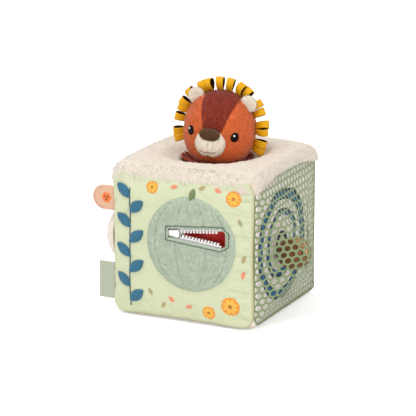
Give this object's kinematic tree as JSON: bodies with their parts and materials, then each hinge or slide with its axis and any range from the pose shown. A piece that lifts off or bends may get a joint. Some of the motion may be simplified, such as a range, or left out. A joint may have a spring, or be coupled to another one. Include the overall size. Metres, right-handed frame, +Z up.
{
  "type": "activity cube",
  "caption": "Soft baby activity cube with a fur top, a padded front with a zip pocket, a net side with a ball and a pop-up lion head.",
  "frame": {"origin": "centre of the base, on the surface that the cube stands on", "axes": "+Z up, the padded front faces -Y and the net side faces +X"},
  "size_m": [0.2077, 0.1615, 0.2313],
  "materials": {
    "fur": "cream short-pile fur",
    "plush_cream": "cream short plush",
    "cloth_cream": "cream woven cotton",
    "foam": "soft upholstery foam",
    "pad_cotton": "light green cotton, padded",
    "melon_plush": "sage green short plush",
    "leaf_felt": "teal felt",
    "red_lining": "red woven lining",
    "zip_tape": "white woven zip tape",
    "zip_plastic": "white moulded plastic",
    "net": "green knitted net",
    "ball_plush": "dark brown and tan short plush",
    "tab_cotton": "peach cotton",
    "label_ribbon": "grey-white woven ribbon",
    "lion_plush": "terracotta short plush",
    "lion_brown": "maroon brown short plush",
    "lion_cream": "cream short plush",
    "lion_nose": "dark brown short plush",
    "lion_thread": "black embroidery",
    "mane_ribbon": "mustard ribbon, dark brown behind",
    "lion_sleeve": "rust cotton",
    "filling": "white polyester fibre"
  },
  "bodies": {
    "cube": {"foam_core": "foam", "well_lining": "cloth_cream", "fur_top": "fur", "left_plush": "plush_cream", "back_plush": "plush_cream", "base_cloth": "cloth_cream", "front_cloth": "cloth_cream", "right_cloth": "cloth_cream", "front_pad": "pad_cotton", "melon_plush": "melon_plush", "vine_leaves": "leaf_felt", "zip_pocket_lining": "red_lining", "net_cover": "net"},
    "zip_upper": {"zip_tape_upper": "zip_tape", "zip_teeth_upper": "zip_plastic"},
    "zip_lower": {"zip_tape_lower": "zip_tape", "zip_teeth_lower": "zip_plastic"},
    "zip_slider": {"zip_slider": "zip_plastic"},
    "ball": {"net_ball": "ball_plush"},
    "tab": {"seam_tab": "tab_cotton"},
    "label": {"seam_label": "label_ribbon"},
    "lion_sleeve": {"neck_sleeve": "lion_sleeve", "neck_ruffle": "lion_sleeve"},
    "lion_head": {"neck_plug": "lion_plush", "head_stuffing": "filling", "head_left": "lion_plush", "head_right": "lion_plush", "head_gusset": "lion_brown", "head_back": "lion_plush", "muzzle": "lion_cream", "nose": "lion_nose", "ear_left": "lion_cream", "ear_right": "lion_cream", "eye_patches": "lion_thread", "mane_loop_1": "mane_ribbon", "mane_loop_2": "mane_ribbon", "mane_loop_3": "mane_ribbon", "mane_loop_4": "mane_ribbon", "mane_loop_5": "mane_ribbon", "mane_loop_6": "mane_ribbon", "mane_loop_7": "mane_ribbon", "mane_loop_8": "mane_ribbon", "mane_loop_9": "mane_ribbon", "mane_loop_10": "mane_ribbon", "mane_loop_11": "mane_ribbon", "mane_loop_12": "mane_ribbon", "mane_loop_13": "mane_ribbon", "mane_loop_14": "mane_ribbon", "mane_loop_15": "mane_ribbon", "mane_loop_16": "mane_ribbon", "mane_loop_17": "mane_ribbon", "mane_loop_18": "mane_ribbon"}
  },
  "joints": [
    {"name": "lion_lift", "type": "slide", "parent": "cube", "child": "lion_sleeve", "axis": [0, 0, 1], "range_m": [-0.078, 0], "deforming": ["mane_loop_1", "mane_loop_2", "mane_loop_3", "mane_loop_4", "mane_loop_5", "mane_loop_6", "mane_loop_7", "mane_loop_8", "mane_loop_9", "mane_loop_10", "mane_loop_11", "mane_loop_12", "mane_loop_13", "mane_loop_14", "mane_loop_15", "mane_loop_16", "mane_loop_17", "mane_loop_18", "muzzle", "nose"]},
    {"name": "lion_turn", "type": "hinge", "parent": "lion_sleeve", "child": "lion_head", "pos_m": [0, 0, 0.137], "axis": [0, 0, 1], "range_deg": [-35, 35]},
    {"name": "zip_slide", "type": "slide", "parent": "cube", "child": "zip_slider", "axis": [1, 0, 0], "range_m": [0, 0.052]},
    {"name": "zip_upper_close", "type": "hinge", "parent": "cube", "child": "zip_upper", "pos_m": [-0.009, -0.08185, 0.091], "axis": [0, 1, 0], "range_deg": [0, 5.6]},
    {"name": "zip_lower_close", "type": "hinge", "parent": "cube", "child": "zip_lower", "pos_m": [-0.009, -0.08185, 0.091], "axis": [0, -1, 0], "range_deg": [0, 5.6]},
    {"name": "ball_roll", "type": "slide", "parent": "cube", "child": "ball", "axis": [0, 1, 0], "range_m": [-0.018, 0.045], "deforming": ["net_cover"]},
    {"name": "tab_flap", "type": "hinge", "parent": "cube", "child": "tab", "pos_m": [-0.0744, -0.078, 0.117], "axis": [0, 0, 1], "range_deg": [-55, 85]},
    {"name": "label_flap", "type": "hinge", "parent": "cube", "child": "label", "pos_m": [-0.0741, -0.078, 0.033], "axis": [0, 0, 1], "range_deg": [-55, 85]}
  ],
  "couplings": [
    {"joint": "zip_upper_close", "follows": "zip_slide", "rad_per_m": 1.8796},
    {"joint": "zip_lower_close", "follows": "zip_slide", "rad_per_m": 1.8796}
  ]
}
